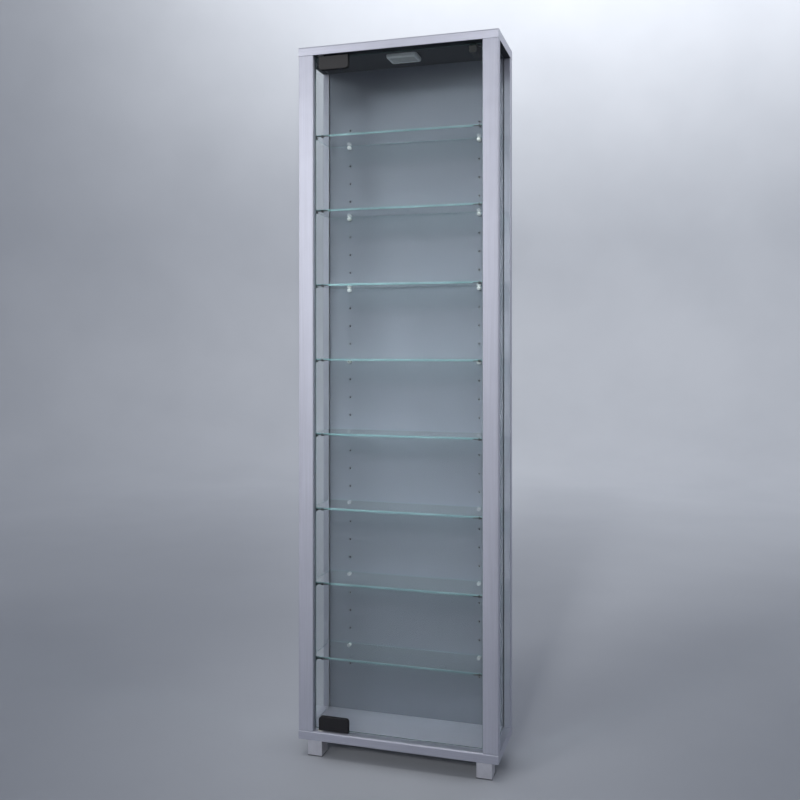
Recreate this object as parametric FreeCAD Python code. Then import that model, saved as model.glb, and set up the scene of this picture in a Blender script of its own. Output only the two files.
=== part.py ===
import FreeCAD, Part
import os

# Glass display showcase: a tall, shallow cabinet of two foil-wrapped boards, four posts, fixed glass
# sides, a drilled rear panel, eight glass shelves, one frameless glass door and four square feet.
#
# Frame: millimetres, +Z up, origin at the centre of the footprint on the floor.
# The front faces -Y. Positions along X are worked out from u, the distance inward from a side,
# and positions along Y from v, the distance back from the front.

Vector = FreeCAD.Vector

# Overall size
WIDTH = 500.0
DEPTH = 180.0
HEIGHT = 1750.0

# Boards and feet
BOARD_THICK = 22.0
FOOT_HEIGHT = 45.0
BOARD_NOSE_RADIUS = 4.0
BOARD_EDGE_RADIUS = 1.0
BOTTOM_TOP = FOOT_HEIGHT + BOARD_THICK      # upper face of the bottom board
TOP_UNDER = HEIGHT - BOARD_THICK            # underside of the top board
INSIDE_MID = (BOTTOM_TOP + TOP_UNDER) / 2.0

# Posts
POST_WIDE = 38.0
POST_DEEP = 22.0
POST_EDGE_RADIUS = 2.5
POST_END_BEVEL = 0.5                        # leaves a fine shadow line at both boards
REAR_POST_FRONT = DEPTH - POST_DEEP

# Fixed glass sides, standing in grooves in the boards and front posts and reaching into wider rebates
# in the rear posts
SIDE_GLASS_THICK = 4.0
SIDE_GLASS_OUTER = 17.0                     # u of the glass's outer face
GROOVE_PLAY = 0.2
GROOVE_DEEP = 8.0
BOARD_GROOVE_DEEP = 5.0
SIDE_GLASS_TOP_PLAY = 1.0
REBATE_GAP = 1.2                            # dark gap outside the glass in the rear posts' rebates

# Rear panel, lying in the rebates of the rear posts
PANEL_THICK = 12.0
PANEL_EDGE_U = 22.2                         # leaves a dark gap of 1.2 mm beside the glass
PANEL_TONGUE = 4.5
PANEL_GROOVE_PLAY = 0.1
PANEL_SCREW_COUNT = 4
PANEL_SCREW_U = 29.0
PANEL_SCREW_END = 80.0                      # outermost screws to the boards
PANEL_SCREW_RADIUS = 1.75
PANEL_SCREW_HEAD_RADIUS = 3.5
PANEL_SCREW_LONG = 16.0

# Shelf-pin holes: two columns in the rear panel, one row down the back of each front post
HOLE_RADIUS = 2.5
HOLE_PITCH = 46.3
HOLE_COUNT = 31
HOLE_TOP = 1575.0
REAR_HOLE_U = 78.4
FRONT_HOLE_U = 30.0
PANEL_HOLE_DEEP = 9.0
POST_HOLE_DEEP = 11.0

# Shelves
SHELF_COUNT = 8
SHELF_FIRST_HOLE = 1
SHELF_HOLE_STEP = 4
SHELF_THICK = 5.0
SHELF_RISE = 4.5                            # shelf underside above the middle of its pins
SHELF_SIDE_GAP = 2.0
SHELF_FRONT = 32.0
SHELF_REAR_GAP = 2.0
SHELF_CORNER_RADIUS = 3.0
GLASS_ARRIS = 0.6                           # ground bevel along every glass edge

# Rear shelf pins and their sleeves
SHANK_RADIUS = 2.45
PIN_REACH = 11.0
PIN_BITE = 8.5
PIN_COLLAR_RADIUS = 3.8
PIN_HEAD_RADIUS = 3.6
PIN_HEAD_THICK = 1.5
PIN_HEAD_ROUNDING = 1.0
SLEEVE_RADIUS = 4.7
SLEEVE_GAP = 1.0

# Front shelf supports; heights are above the middle of the hole
SUPPORT_BITE = 10.5
SUPPORT_LEFT_U = 25.5
SUPPORT_RIGHT_U = 37.0
SUPPORT_REAR = 41.0
SUPPORT_LOW = 0.9
SUPPORT_SEAT = 3.7
SUPPORT_CORNER_RADIUS = 1.5
ARM_GAP = 0.2                               # between the arm and the shelf's front edge
ARM_THICK = 2.3
ARM_END_U = 66.0
ARM_MIDDLE = 5.5
ARM_TALL = 2.2
STOP_U = 51.2
STOP_RADIUS = 3.2
STOP_THICK = 2.5
STOP_ROUNDING = 0.8
TONGUE_WIDE = 5.0
TONGUE_LONG = 6.0
TONGUE_LOW = 2.6
TONGUE_RADIUS = 1.2
PAD_U = 31.0
PAD_V = 36.5
PAD_RADIUS = 2.8

# Door
DOOR_GLASS_THICK = 5.0
DOOR_MID_V = 14.0                           # v of the middle of the glass
DOOR_EDGE_U = 40.0                          # 2 mm clear of the posts
DOOR_EDGE_GAP = 5.5                         # above the bottom board and below the top board
DOOR_CORNER_RADIUS = 2.0

# Door hinges, given for the lower one; the upper one is its mirror image
PIVOT_U = 54.0
PIN_RADIUS = 3.0
PIN_BEVEL = 0.8
RUNNING_GAP = 0.05
CLAMP_LEFT_U = 50.0
CLAMP_LONG = 77.0
CLAMP_THICK = 13.0
CLAMP_TALL = 33.6
CLAMP_BOTTOM = BOTTOM_TOP + 1.9
CLAMP_CORNER_RADIUS = 8.0
CLAMP_EDGE_RADIUS = 1.2
CLAMP_PIN_PLAY = 0.2
PLATE_THICK = 1.8
PLATE_DEEP = 9.0
PLATE_LONG = 50.0
PLATE_INSET = 0.5
PLATE_PLAY = 0.05
CLAMP_WALL_UNDER_PLATE = 1.4
LINER_SIDE = 0.6
LINER_FLOOR = 0.4
LINER_INSET = 1.0
LINER_BELOW_RIM = 9.0
BUSH_RADIUS = 5.0
BUSH_DEEP = 12.5
BUSH_FLOOR = 0.7
BUSH_FLANGE_RADIUS = 8.0
BUSH_FLANGE_THICK = 0.8
WASHER_RADIUS = 7.5
WASHER_PLAY = 0.3
WASHER_THICK = 0.8
GRUB_RADIUS = 1.95
GRUB_RISE = 17.0                            # above the bottom of the clamp
GRUB_INSET = 20.0                           # from the ends of the clamp
GRUB_SUNK = 0.3
KEY_RADIUS = 1.15
KEY_DEEP = 1.6

# Magnetic catch under the top board
CATCH_U = 436.0
CATCH_AXIS_Z = TOP_UNDER - 15.0
CATCH_FRONT = 24.0
CATCH_LONG = 42.0
CATCH_WIDE = 14.0
CATCH_EDGE_RADIUS = 2.0
CATCH_BORE_DEEP = 36.0
CATCH_FLANGE_WIDE = 30.0
CATCH_FLANGE_INSET = 12.0
CATCH_FLANGE_THICK = 3.0
CATCH_FLANGE_RADIUS = 3.0
CATCH_SCREW_INSET = 4.0
PLUNGER_RADIUS = 3.5
PLUNGER_LONG = 28.0
PLUNGER_TIP = 18.0
PLUNGER_HEAD_RADIUS = 5.0
PLUNGER_HEAD_THICK = 2.7
PLUNGER_HEAD_ROUNDING = 0.5
MAGNET_RADIUS = 3.5
MAGNET_THICK = 2.0
STRIKE_WIDE = 18.0
STRIKE_THICK = 1.2
STRIKE_BELOW = 9.0                          # below and above the plunger's axis
STRIKE_ABOVE = 7.5
STRIKE_CORNER_RADIUS = 2.0

# Light under the top board
LED_LONG = 77.0
LED_DEEP = 54.0
LED_TALL = 9.0
LED_FRONT = 46.0
LED_RIM = 7.0
LED_RIM_BEVEL = 2.5
LED_CORNER_RADIUS = 7.0
LED_ROOM_RADIUS = 3.0
LED_WALL_TOP = 2.0
LED_LENS_PLAY = 0.1
LED_LENS_THICK = 1.6
LED_LENS_SUNK = 1.2
LED_BOARD_PLAY = 0.3
LED_BOARD_THICK = 1.2
CHIP_COUNT = 6
CHIP_PITCH = 9.0
CHIP_LONG = 3.5
CHIP_DEEP = 2.8
CHIP_TALL = 0.8
CHIP_BEHIND_MIDDLE = 11.0
LED_SCREW_OFFSET = 24.0
LED_SCREW_AHEAD = 6.0
LED_SCREW_ROOM_RADIUS = 3.4

# Small wood screws of the catch and the light
WOOD_SCREW_RADIUS = 1.6
WOOD_SCREW_HEAD_RADIUS = 3.1
WOOD_SCREW_LONG = 14.0

# Cable outlet
CABLE_RADIUS = 3.0
CABLE_HOLE_RADIUS = 5.0
GROMMET_LONG = 14.0
GROMMET_FLANGE_RADIUS = 8.0
GROMMET_FLANGE_THICK = 1.5
GROMMET_ROUNDING = 0.6

# Feet
FOOT_SIZE = 38.0
FOOT_U = 18.0
FOOT_V = 15.0
FOOT_WALL = 2.5
FOOT_CAP = 4.0
FOOT_EDGE_RADIUS = 1.5
FOOT_ROOM_RADIUS = 1.0
GLIDE_THICK = 2.5
GLIDE_BEVEL = 0.8
GLIDE_PLUG_TALL = 10.0
GLIDE_PLUG_PLAY = 0.1
FOOT_SCREW_RADIUS = 2.0
FOOT_SCREW_PLAY = 0.25
FOOT_SCREW_BITE = 14.0
FOOT_SCREW_OFFSET = 9.0
FOOT_SCREW_HEAD_RADIUS = 4.0
FOOT_SCREW_HEAD_TALL = 2.4
FOOT_SCREW_HEAD_ROUNDING = 1.2

# Frame screws, caps and dowels, in the solid part of each post outside the glass
FIXING_U = 9.5
SCREW_V = 8.0
DOWEL_V = 17.0
SCREW_RADIUS = 2.5
SCREW_HEAD_RADIUS = 4.5
SCREW_LONG = 60.0
SCREW_SOCKET_RADIUS = 1.5
SCREW_SOCKET_DEEP = 1.6
CAP_RADIUS = 6.0
CAP_THICK = 1.5
CAP_BEVEL = 0.4
DOWEL_RADIUS = 3.0
DOWEL_BITE = 14.0
DOWEL_END_ROOM = 1.0
DOWEL_BEVEL = 0.8

# Anti-tip plates in the backs of the rear posts
TIP_U = 12.0
TIP_Z = 1665.0
TIP_WIDE = 18.0
TIP_TALL = 42.0
TIP_THICK = 1.5
TIP_PLAY = 0.1
TIP_CORNER_RADIUS = 4.0
TIP_HOLE_RADIUS = 3.5
TIP_ROOM_RADIUS = 6.0
TIP_ROOM_DEEP = 9.0
TIP_SCREW_OFFSET = 15.0
TIP_SCREW_RADIUS = 1.5
TIP_SCREW_HEAD_RADIUS = 2.8
TIP_SCREW_LONG = 11.0
TIP_SCREW_SUNK = 0.1

# Slots of the screws
SLOT_HALF_WIDE = 0.4
SLOT_DEEP = 0.8
SLOT_SPREAD = 0.55                          # half length of a slot, as a part of the head's radius

# How far a cutting tool runs past the face it enters by, and a length too short to matter
BEYOND = 1.0
SMALL = 0.01


# ---- helpers -----------------------------------------------------------------------------------

def left_x(u):
    """X at a distance u inward from the left side."""
    return u - WIDTH / 2.0


def y_at(v):
    """Y at a distance v back from the front."""
    return v - DEPTH / 2.0


def block(u0, u1, v0, v1, z0, z1):
    """Box between two distances from the left, two from the front and two heights."""
    return Part.makeBox(u1 - u0, v1 - v0, z1 - z0, Vector(left_x(u0), y_at(v0), z0))


def rod(radius, u, v, z, direction, length):
    """Cylinder starting at a point and running along a direction."""
    return Part.makeCylinder(radius, length, Vector(left_x(u), y_at(v), z), Vector(*direction))


def cone(radius_start, radius_end, u, v, z, direction, length):
    """Cone starting at a point and running along a direction."""
    start = Vector(left_x(u), y_at(v), z)
    return Part.makeCone(radius_start, radius_end, length, start, Vector(*direction))


def edges_along(shape, axis, keep=None):
    """Straight edges parallel to an axis, only those whose middle passes the test keep."""
    found = []
    for edge in shape.Edges:
        if len(edge.Vertexes) != 2:
            continue
        run = edge.Vertexes[1].Point.sub(edge.Vertexes[0].Point)
        if run.Length < SMALL or abs(run.dot(axis)) < run.Length * (1.0 - SMALL):
            continue
        if keep is None or keep(edge.BoundBox.Center):
            found.append(edge)
    return found


def round_edges(shape, keep=None):
    """Closed circular edges, only those whose middle passes the test keep."""
    circles = [edge for edge in shape.Edges if len(edge.Vertexes) == 1]
    return [edge for edge in circles if keep is None or keep(edge.BoundBox.Center)]


def countersunk(radius, head_radius, u, v, z, direction, length):
    """Outline of a countersunk screw: its head face at the point, its shank along the direction."""
    shank = rod(radius, u, v, z, direction, length)
    head = cone(head_radius, radius, u, v, z, direction, head_radius - radius)
    return shank.fuse(head)


def cross_slot(head_radius, u, v, z, direction):
    """Two crossed slots cut into a screw head that faces along X, Y or Z, against the direction."""
    half = head_radius * SLOT_SPREAD
    reach = [abs(part) * SLOT_DEEP for part in direction]
    flat = [0.0 if part else 1.0 for part in direction]
    long_axis = flat.index(1.0)
    wide_axis = 2 - flat[::-1].index(1.0)
    slots = []
    for first, second in ((long_axis, wide_axis), (wide_axis, long_axis)):
        spread = list(reach)
        spread[first] = half
        spread[second] = SLOT_HALF_WIDE
        du, dv, dz = spread
        slots.append(block(u - du, u + du, v - dv, v + dv, z - dz, z + dz))
    return slots[0].fuse(slots[1])


def cut_all(shape, tools):
    """Shape with every tool taken out of it, one after the other."""
    for tool in tools:
        shape = shape.cut(tool)
    return shape


def mirror_side(shape):
    """The same piece on the other side of the cabinet."""
    return shape.mirror(Vector(0, 0, 0), Vector(1, 0, 0))


def mirror_height(shape):
    """The same piece at the other end of the inside height."""
    return shape.mirror(Vector(0, 0, INSIDE_MID), Vector(0, 0, 1))


def mirror_depth(shape):
    """The same piece at the other end of the depth."""
    return shape.mirror(Vector(0, 0, 0), Vector(0, 1, 0))


def save(name, *shapes):
    """Write one node: a single solid, or a group of separate solids."""
    solids = [solid for shape in shapes for solid in shape.Solids]
    for solid in solids:
        if not solid.isValid():
            raise ValueError("invalid solid in " + name)
    result = solids[0] if len(solids) == 1 else Part.makeCompound(solids)
    result.exportStep("parts/" + name + ".step")
    print(name, len(solids), round(result.Volume, 1))


X_AXIS = Vector(1, 0, 0)
Y_AXIS = Vector(0, 1, 0)
Z_AXIS = Vector(0, 0, 1)
UP = (0, 0, 1)
BACK = (0, 1, 0)
FORWARD = (0, -1, 0)


def hole_heights():
    """Heights of the shelf-pin holes, from the top down."""
    return [HOLE_TOP - HOLE_PITCH * row for row in range(HOLE_COUNT)]


def shelf_pin_heights():
    """Heights of the holes that hold the eight shelves."""
    heights = hole_heights()
    return [heights[SHELF_FIRST_HOLE + SHELF_HOLE_STEP * shelf] for shelf in range(SHELF_COUNT)]


# ---- boards ------------------------------------------------------------------------------------

def plain_board(z0):
    """Board with a well-rounded upper front edge and softened edges elsewhere."""
    board = block(0, WIDTH, 0, DEPTH, z0, z0 + BOARD_THICK)
    middle = z0 + BOARD_THICK / 2.0
    nose = edges_along(board, X_AXIS, lambda point: point.y < y_at(BEYOND) and point.z > middle)
    board = board.makeFillet(BOARD_NOSE_RADIUS, nose)
    others = edges_along(
        board,
        X_AXIS,
        lambda point: point.y > y_at(DEPTH - BEYOND) or point.z < z0 + BEYOND,
    )
    return board.makeFillet(BOARD_EDGE_RADIUS, others)


def corners():
    """Mirror steps that take a piece near the front left corner to all four corners."""
    return [
        lambda shape: shape,
        mirror_side,
        mirror_depth,
        lambda shape: mirror_depth(mirror_side(shape)),
    ]


def side_grooves(face_z, sign):
    """Grooves for the two glass sides, cut into a board from its inner face."""
    low, high = sorted([face_z, face_z + sign * BOARD_GROOVE_DEEP])
    groove = block(
        SIDE_GLASS_OUTER - GROOVE_PLAY,
        SIDE_GLASS_OUTER + SIDE_GLASS_THICK + GROOVE_PLAY,
        POST_DEEP - GROOVE_DEEP - GROOVE_PLAY,
        REAR_POST_FRONT + GROOVE_DEEP + GROOVE_PLAY,
        low,
        high,
    )
    return [groove, mirror_side(groove)]


def panel_groove(face_z, sign):
    """Groove for the end of the rear panel, cut into a board from its inner face."""
    low, high = sorted([face_z, face_z + sign * BOARD_GROOVE_DEEP])
    return block(
        PANEL_EDGE_U - PANEL_GROOVE_PLAY,
        WIDTH - PANEL_EDGE_U + PANEL_GROOVE_PLAY,
        REAR_POST_FRONT - PANEL_GROOVE_PLAY,
        REAR_POST_FRONT + PANEL_THICK + PANEL_GROOVE_PLAY,
        low,
        high,
    )


def frame_screw_outline(outer_z, sign):
    """Countersunk screw from under a cap in a board into the end of the front left post."""
    start = outer_z + sign * CAP_THICK
    direction = (0, 0, sign)
    return countersunk(SCREW_RADIUS, SCREW_HEAD_RADIUS, FIXING_U, SCREW_V, start, direction, SCREW_LONG)


def frame_screw(outer_z, sign):
    """Frame screw with its key socket."""
    start = outer_z + sign * CAP_THICK
    socket = rod(SCREW_SOCKET_RADIUS, FIXING_U, SCREW_V, start, (0, 0, sign), SCREW_SOCKET_DEEP)
    return frame_screw_outline(outer_z, sign).cut(socket)


def frame_screw_hole(outer_z, sign):
    """Room for a frame screw and the cap over it."""
    recess = rod(CAP_RADIUS, FIXING_U, SCREW_V, outer_z, (0, 0, sign), CAP_THICK)
    return frame_screw_outline(outer_z, sign).fuse(recess)


def frame_dowel(face_z):
    """Wooden dowel half in a board and half in the end of the front left post."""
    dowel = rod(DOWEL_RADIUS, FIXING_U, DOWEL_V, face_z - DOWEL_BITE, UP, 2 * DOWEL_BITE)
    return dowel.makeChamfer(DOWEL_BEVEL, round_edges(dowel))


def dowel_hole(face_z):
    """Hole for a frame dowel, with a little room at both ends."""
    bite = DOWEL_BITE + DOWEL_END_ROOM
    return rod(DOWEL_RADIUS, FIXING_U, DOWEL_V, face_z - bite, UP, 2 * bite)


def corner_fittings_holes(outer_z, face_z, sign):
    """Screw and dowel holes of one board at its four corners."""
    tools = []
    for move in corners():
        tools.append(move(frame_screw_hole(outer_z, sign)))
        tools.append(move(dowel_hole(face_z)))
    return tools


def top_board():
    """Top board with its grooves, joint holes, upper hinge bush hole, cable hole and screw holes."""
    board = plain_board(TOP_UNDER)
    tools = side_grooves(TOP_UNDER, 1)
    tools.append(panel_groove(TOP_UNDER, 1))
    tools += corner_fittings_holes(HEIGHT, TOP_UNDER, -1)
    tools.append(mirror_height(bush_hole()))
    cable_low = TOP_UNDER - BEYOND
    flange_low = HEIGHT - GROMMET_FLANGE_THICK
    tools.append(rod(CABLE_HOLE_RADIUS, WIDTH / 2.0, LED_MID_V, cable_low, UP, BOARD_THICK + 2 * BEYOND))
    tools.append(rod(GROMMET_FLANGE_RADIUS, WIDTH / 2.0, LED_MID_V, flange_low, UP, BOARD_THICK))
    tools += [wood_screw_outline(place) for place in catch_screw_places() + led_screw_places()]
    return cut_all(board, tools)


def bottom_board():
    """Bottom board with its grooves, joint holes, foot screw holes and lower hinge bush hole."""
    board = plain_board(FOOT_HEIGHT)
    tools = side_grooves(BOTTOM_TOP, -1)
    tools.append(panel_groove(BOTTOM_TOP, -1))
    tools += corner_fittings_holes(FOOT_HEIGHT, BOTTOM_TOP, 1)
    tools.append(bush_hole())
    for u, v in foot_screw_places():
        hole = rod(FOOT_SCREW_RADIUS, u, v, FOOT_HEIGHT - BEYOND, UP, FOOT_SCREW_BITE + BEYOND)
        tools += [move(hole) for move in corners()]
    return cut_all(board, tools)


def screw_caps():
    """Four flush caps over the frame screws in the top board."""
    cap = rod(CAP_RADIUS, FIXING_U, SCREW_V, HEIGHT - CAP_THICK, UP, CAP_THICK)
    cap = cap.makeChamfer(CAP_BEVEL, round_edges(cap, lambda point: point.z > HEIGHT - CAP_BEVEL))
    return [move(cap) for move in corners()]


# ---- posts and rear panel ----------------------------------------------------------------------

def post_blank(v0):
    """Post at the left with rounded long edges and lightly bevelled ends."""
    post = block(0, POST_WIDE, v0, v0 + POST_DEEP, BOTTOM_TOP, TOP_UNDER)
    post = post.makeFillet(POST_EDGE_RADIUS, edges_along(post, Z_AXIS))
    ends = [edge for edge in post.Edges if edge.BoundBox.ZLength < POST_END_BEVEL]
    return post.makeChamfer(POST_END_BEVEL, ends)


def front_post():
    """Front left post: glass groove and shelf-support holes in its rear face."""
    post = post_blank(0)
    groove = block(
        SIDE_GLASS_OUTER - GROOVE_PLAY,
        SIDE_GLASS_OUTER + SIDE_GLASS_THICK + GROOVE_PLAY,
        POST_DEEP - GROOVE_DEEP - GROOVE_PLAY,
        POST_DEEP + BEYOND,
        BOTTOM_TOP - BEYOND,
        TOP_UNDER + BEYOND,
    )
    tools = [groove]
    length = POST_HOLE_DEEP + BEYOND
    for height in hole_heights():
        tools.append(rod(HOLE_RADIUS, FRONT_HOLE_U, POST_DEEP + BEYOND, height, FORWARD, length))
    tools += post_end_holes()
    return cut_all(post, tools)


def rear_post():
    """Rear left post: rebate for the glass and the panel, panel screw holes, anti-tip pocket."""
    post = post_blank(REAR_POST_FRONT)
    rebate = block(
        SIDE_GLASS_OUTER - REBATE_GAP,
        POST_WIDE + BEYOND,
        REAR_POST_FRONT - BEYOND,
        REAR_POST_FRONT + PANEL_THICK,
        BOTTOM_TOP - BEYOND,
        TOP_UNDER + BEYOND,
    )
    tools = [rebate]
    tools += [mirror_depth(tool) for tool in post_end_holes()]
    tools += [panel_screw_outline(height) for height in panel_screw_heights()]
    tools += anti_tip_pocket()
    return cut_all(post, tools)


def post_end_holes():
    """Screw and dowel holes in both ends of a front left post."""
    return [
        frame_screw_hole(HEIGHT, -1),
        frame_screw_hole(FOOT_HEIGHT, 1),
        dowel_hole(TOP_UNDER),
        dowel_hole(BOTTOM_TOP),
    ]


def panel_screw_heights():
    """Heights of the screws spread up each side of the rear panel."""
    first = BOTTOM_TOP + PANEL_SCREW_END
    step = (TOP_UNDER - PANEL_SCREW_END - first) / (PANEL_SCREW_COUNT - 1)
    return [first + step * screw for screw in range(PANEL_SCREW_COUNT)]


def panel_screw_outline(height):
    """Countersunk screw from the back through the rear left post into the panel."""
    return countersunk(
        PANEL_SCREW_RADIUS,
        PANEL_SCREW_HEAD_RADIUS,
        PANEL_SCREW_U,
        DEPTH,
        height,
        FORWARD,
        PANEL_SCREW_LONG,
    )


def panel_screw(height):
    """Panel screw with its cross slot."""
    slot = cross_slot(PANEL_SCREW_HEAD_RADIUS, PANEL_SCREW_U, DEPTH, height, FORWARD)
    return panel_screw_outline(height).cut(slot)


def rear_panel():
    """Rear panel with its two columns of shelf-pin holes, its ends let into the boards."""
    panel = block(
        PANEL_EDGE_U,
        WIDTH - PANEL_EDGE_U,
        REAR_POST_FRONT,
        REAR_POST_FRONT + PANEL_THICK,
        BOTTOM_TOP - PANEL_TONGUE,
        TOP_UNDER + PANEL_TONGUE,
    )
    tools = []
    for height in hole_heights():
        length = PANEL_HOLE_DEEP + BEYOND
        hole = rod(HOLE_RADIUS, REAR_HOLE_U, REAR_POST_FRONT - BEYOND, height, BACK, length)
        tools += [hole, mirror_side(hole)]
    for height in panel_screw_heights():
        hole = panel_screw_outline(height)
        tools += [hole, mirror_side(hole)]
    return cut_all(panel, tools)


# ---- anti-tip plates ---------------------------------------------------------------------------

def anti_tip_slab(play, v0, v1):
    """Outline of an anti-tip plate at the left, grown by a play, between two distances from the front."""
    slab = block(
        TIP_U - TIP_WIDE / 2.0 - play,
        TIP_U + TIP_WIDE / 2.0 + play,
        v0,
        v1,
        TIP_Z - TIP_TALL / 2.0 - play,
        TIP_Z + TIP_TALL / 2.0 + play,
    )
    return slab.makeFillet(TIP_CORNER_RADIUS + play, edges_along(slab, Y_AXIS))


def anti_tip_screw_heights():
    """Heights of the two screws of an anti-tip plate."""
    return [TIP_Z - TIP_SCREW_OFFSET, TIP_Z + TIP_SCREW_OFFSET]


def anti_tip_screw_outline(z):
    """Small countersunk screw from the back through an anti-tip plate into the post."""
    head_v = DEPTH - TIP_SCREW_SUNK
    return countersunk(TIP_SCREW_RADIUS, TIP_SCREW_HEAD_RADIUS, TIP_U, head_v, z, FORWARD, TIP_SCREW_LONG)


def anti_tip_plate():
    """Steel plate let flush into the back of the rear left post, with a hole for a wall fixing."""
    plate = anti_tip_slab(0.0, DEPTH - TIP_THICK, DEPTH)
    tools = [rod(TIP_HOLE_RADIUS, TIP_U, DEPTH - TIP_THICK - BEYOND, TIP_Z, BACK, TIP_THICK + 2 * BEYOND)]
    tools += [anti_tip_screw_outline(z) for z in anti_tip_screw_heights()]
    return cut_all(plate, tools)


def anti_tip_screws():
    """The screws of one anti-tip plate."""
    screws = []
    for z in anti_tip_screw_heights():
        slot = cross_slot(TIP_SCREW_HEAD_RADIUS, TIP_U, DEPTH - TIP_SCREW_SUNK, z, FORWARD)
        screws.append(anti_tip_screw_outline(z).cut(slot))
    return screws


def anti_tip_pocket():
    """Recess for the plate, room behind its hole for a wall fixing, and its screw holes."""
    recess = anti_tip_slab(TIP_PLAY, DEPTH - TIP_THICK, DEPTH + BEYOND)
    room = rod(TIP_ROOM_RADIUS, TIP_U, DEPTH - TIP_ROOM_DEEP, TIP_Z, BACK, TIP_ROOM_DEEP)
    return [recess, room] + [anti_tip_screw_outline(z) for z in anti_tip_screw_heights()]


# ---- glass -------------------------------------------------------------------------------------

def side_glass():
    """Left glass side, standing in the grooves of the boards and posts."""
    glass = block(
        SIDE_GLASS_OUTER,
        SIDE_GLASS_OUTER + SIDE_GLASS_THICK,
        POST_DEEP - GROOVE_DEEP,
        REAR_POST_FRONT + GROOVE_DEEP,
        BOTTOM_TOP - BOARD_GROOVE_DEEP,
        TOP_UNDER + BOARD_GROOVE_DEEP - SIDE_GLASS_TOP_PLAY,
    )
    return glass.makeChamfer(GLASS_ARRIS, glass.Edges)


def shelf(pin_height):
    """Glass shelf lying on its four supports."""
    clear = SIDE_GLASS_OUTER + SIDE_GLASS_THICK + SHELF_SIDE_GAP
    low = pin_height + SHELF_RISE
    glass = block(
        clear,
        WIDTH - clear,
        SHELF_FRONT,
        REAR_POST_FRONT - SHELF_REAR_GAP,
        low,
        low + SHELF_THICK,
    )
    glass = glass.makeFillet(SHELF_CORNER_RADIUS, edges_along(glass, Z_AXIS))
    rims = [edge for edge in glass.Edges if edge.BoundBox.ZLength < SMALL]
    return glass.makeChamfer(GLASS_ARRIS, rims)


def door_glass():
    """Frameless door glass with rounded corners and ground edges."""
    glass = block(
        DOOR_EDGE_U,
        WIDTH - DOOR_EDGE_U,
        DOOR_MID_V - DOOR_GLASS_THICK / 2.0,
        DOOR_MID_V + DOOR_GLASS_THICK / 2.0,
        BOTTOM_TOP + DOOR_EDGE_GAP,
        TOP_UNDER - DOOR_EDGE_GAP,
    )
    glass = glass.makeFillet(DOOR_CORNER_RADIUS, edges_along(glass, Y_AXIS))
    rims = [edge for edge in glass.Edges if edge.BoundBox.YLength < SMALL]
    return glass.makeChamfer(GLASS_ARRIS, rims)


# ---- shelf pins and supports -------------------------------------------------------------------

def rear_pin(height):
    """Nickel pin in the rear panel: shank, collar against the panel and a rounded head."""
    tip = REAR_POST_FRONT - PIN_REACH
    collar_v = REAR_POST_FRONT - SLEEVE_GAP
    shank = rod(SHANK_RADIUS, REAR_HOLE_U, tip, height, BACK, PIN_REACH + PIN_BITE)
    collar = rod(PIN_COLLAR_RADIUS, REAR_HOLE_U, collar_v, height, BACK, SLEEVE_GAP)
    head = rod(PIN_HEAD_RADIUS, REAR_HOLE_U, tip - PIN_HEAD_THICK, height, BACK, PIN_HEAD_THICK)
    rim = round_edges(head, lambda point: point.y < y_at(tip - PIN_HEAD_THICK / 2.0))
    head = head.makeFillet(PIN_HEAD_ROUNDING, rim)
    return shank.fuse(collar).fuse(head)


def rear_pin_sleeve(height):
    """Clear sleeve on a rear pin, with a flat on top where the shelf lies."""
    length = PIN_REACH - SLEEVE_GAP
    start = REAR_POST_FRONT - PIN_REACH
    sleeve = rod(SLEEVE_RADIUS, REAR_HOLE_U, start, height, BACK, length)
    bore = rod(SHANK_RADIUS, REAR_HOLE_U, start - BEYOND, height, BACK, length + 2 * BEYOND)
    above = block(
        REAR_HOLE_U - SLEEVE_RADIUS,
        REAR_HOLE_U + SLEEVE_RADIUS,
        start - BEYOND,
        start + length + BEYOND,
        height + SHELF_RISE,
        height + SLEEVE_RADIUS + BEYOND,
    )
    return sleeve.cut(bore).cut(above)


def front_support(height):
    """Black support plugged into the back of the front left post.

    Its seat carries the shelf's front corner. A slim arm runs inward in front of the shelf's edge,
    with a round stop on it and a tongue under the glass.
    """
    arm_rear = SHELF_FRONT - ARM_GAP
    arm_front = arm_rear - ARM_THICK
    arm_low = height + ARM_MIDDLE - ARM_TALL / 2.0
    arm_top = arm_low + ARM_TALL
    low = height + SUPPORT_LOW
    shank = rod(SHANK_RADIUS, FRONT_HOLE_U, POST_DEEP - SUPPORT_BITE, height, BACK, SUPPORT_BITE + BEYOND)
    seat = block(SUPPORT_LEFT_U, SUPPORT_RIGHT_U, POST_DEEP, SUPPORT_REAR, low, height + SUPPORT_SEAT)
    rear_edges = edges_along(seat, Z_AXIS, lambda point: point.y > y_at(SHELF_FRONT))
    seat = seat.makeFillet(SUPPORT_CORNER_RADIUS, rear_edges)
    riser = block(SUPPORT_LEFT_U, SUPPORT_RIGHT_U, POST_DEEP, arm_rear, low, arm_top)
    arm = block(SUPPORT_LEFT_U, ARM_END_U, arm_front, arm_rear, arm_low, arm_top)
    stop = rod(STOP_RADIUS, STOP_U, arm_rear - STOP_THICK, height + ARM_MIDDLE, BACK, STOP_THICK)
    rim = round_edges(stop, lambda point: point.y < y_at(arm_rear - STOP_THICK / 2.0))
    stop = stop.makeFillet(STOP_ROUNDING, rim)
    tongue = block(
        STOP_U - TONGUE_WIDE / 2.0,
        STOP_U + TONGUE_WIDE / 2.0,
        arm_front + ARM_THICK / 2.0,
        SHELF_FRONT + TONGUE_LONG,
        height + TONGUE_LOW,
        height + SHELF_RISE,
    )
    tongue_ends = edges_along(tongue, Z_AXIS, lambda point: point.y > y_at(SHELF_FRONT))
    tongue = tongue.makeFillet(TONGUE_RADIUS, tongue_ends)
    return shank.fuse(seat).fuse(riser).fuse(arm).fuse(stop).fuse(tongue)


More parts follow.
